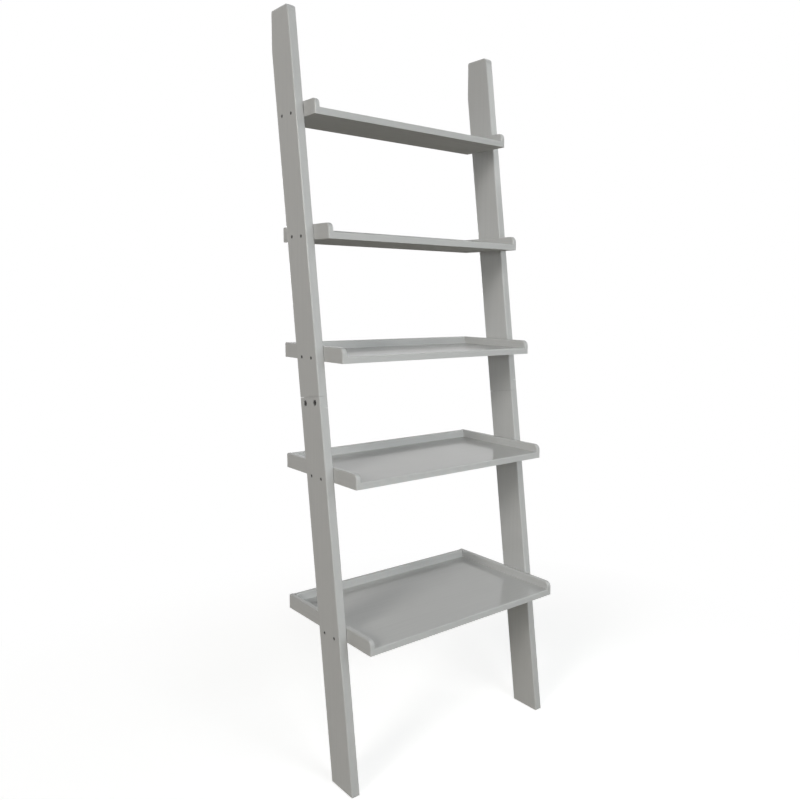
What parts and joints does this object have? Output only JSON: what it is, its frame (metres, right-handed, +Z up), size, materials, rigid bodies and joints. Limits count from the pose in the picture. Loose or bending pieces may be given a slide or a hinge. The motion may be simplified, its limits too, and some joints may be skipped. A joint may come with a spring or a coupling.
{
  "type": "leaning ladder shelf",
  "caption": "Tall leaning shelf: two slanted side rails carry tray shelves that grow deeper towards the floor, each lipped on its sides and back.",
  "frame": {"origin": "on the floor, midway between the rails, and midway between the wall and the front of the lowest shelf", "axes": "+X to the right and +Y back to the wall as seen from the front, +Z up"},
  "size_m": [0.64, 0.367, 1.825],
  "materials": {
    "paint": "wood with white satin paint",
    "steel": "black oxide",
    "beech": "bare",
    "brass": "satin"
  },
  "bodies": {
    "root": {"left_lower_rail": "paint", "left_upper_rail": "paint", "left_joint_bolts": "steel", "left_joint_inserts": "brass", "right_lower_rail": "paint", "right_upper_rail": "paint", "right_joint_bolts": "steel", "right_joint_inserts": "brass", "shelf_1_board": "paint", "shelf_1_left_lip": "paint", "shelf_1_right_lip": "paint", "shelf_1_back_lip": "paint", "shelf_1_screws": "steel", "shelf_1_dowels": "beech", "shelf_2_board": "paint", "shelf_2_left_lip": "paint", "shelf_2_right_lip": "paint", "shelf_2_back_lip": "paint", "shelf_2_screws": "steel", "shelf_2_dowels": "beech", "shelf_3_board": "paint", "shelf_3_left_lip": "paint", "shelf_3_right_lip": "paint", "shelf_3_back_lip": "paint", "shelf_3_screws": "steel", "shelf_3_dowels": "beech", "shelf_4_board": "paint", "shelf_4_left_lip": "paint", "shelf_4_right_lip": "paint", "shelf_4_back_lip": "paint", "shelf_4_screws": "steel", "shelf_4_dowels": "beech", "shelf_5_board": "paint", "shelf_5_left_lip": "paint", "shelf_5_right_lip": "paint", "shelf_5_back_lip": "paint", "shelf_5_screws": "steel", "shelf_5_dowels": "beech"}
  },
  "joints": []
}
